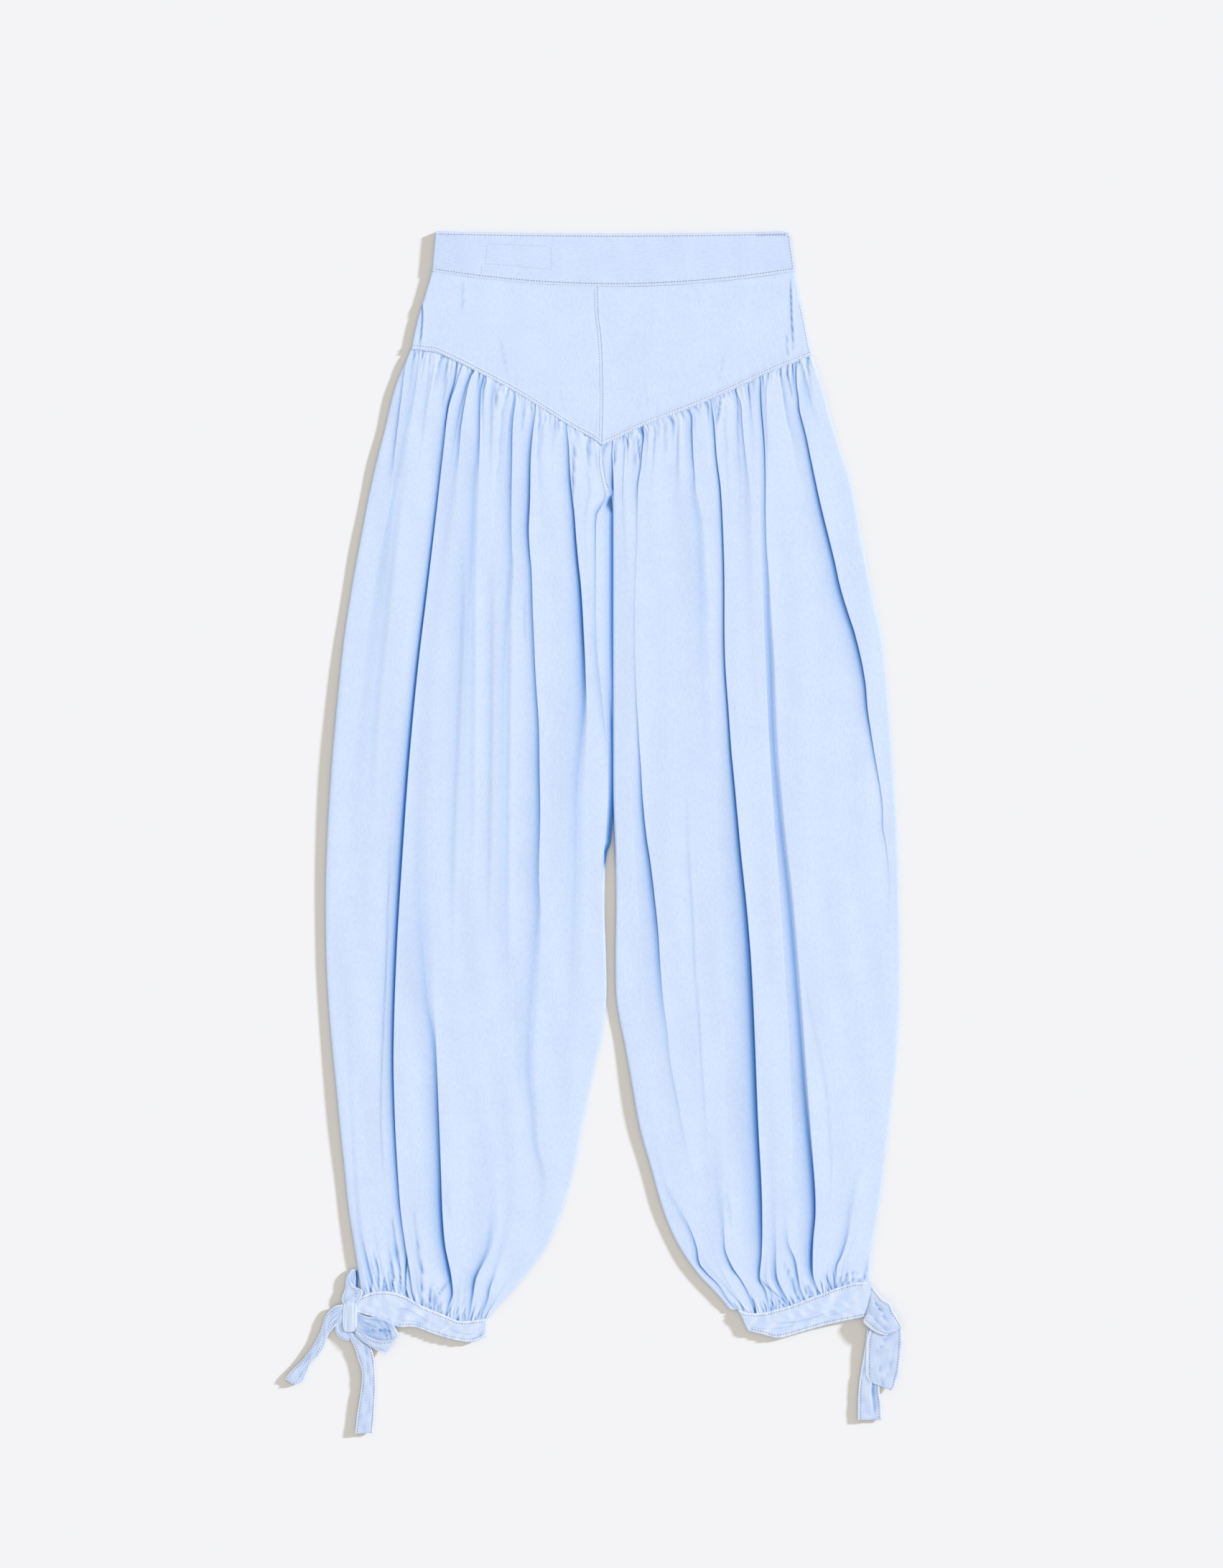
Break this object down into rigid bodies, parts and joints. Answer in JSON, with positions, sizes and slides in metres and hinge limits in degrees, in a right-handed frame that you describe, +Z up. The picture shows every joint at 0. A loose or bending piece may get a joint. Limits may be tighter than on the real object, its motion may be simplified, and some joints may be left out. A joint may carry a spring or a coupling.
{
  "type": "balloon jeans",
  "caption": "High-waisted light denim balloon jeans laid flat: banded waist, V-seamed yoke, full gathered legs and narrow cuffs with ties.",
  "frame": {"origin": "on the surface that the jeans lie on, under the middle of their whole outline, ties included", "axes": "+Z up from the surface, +Y towards the waist, +X towards the right side as one looks down on the front"},
  "size_m": [0.5923, 1.155, 0.01],
  "materials": {
    "denim": "soft light-wash cotton denim, fine weave, matt",
    "denim_doubled": "the same denim, doubled and topstitched, matt",
    "thread": "pale beige-grey sewing thread"
  },
  "bodies": {
    "root": {"waistband": "denim_doubled", "yoke_front_left": "denim", "yoke_front_right": "denim", "yoke_back_left": "denim", "yoke_back_right": "denim", "leg_front_left": "denim", "leg_front_right": "denim", "leg_back_left": "denim", "leg_back_right": "denim", "cuff_left": "denim_doubled", "cuff_right": "denim_doubled", "tie_left_knot": "denim_doubled", "tie_left_loop_up": "denim_doubled", "tie_left_loop_right": "denim_doubled", "tie_left_loop_low": "denim_doubled", "tie_left_tail_side": "denim_doubled", "tie_left_tail_down": "denim_doubled", "tie_right_turn": "denim_doubled", "tie_right_end": "denim_doubled", "tie_right_tail": "denim_doubled"}
  },
  "joints": []
}
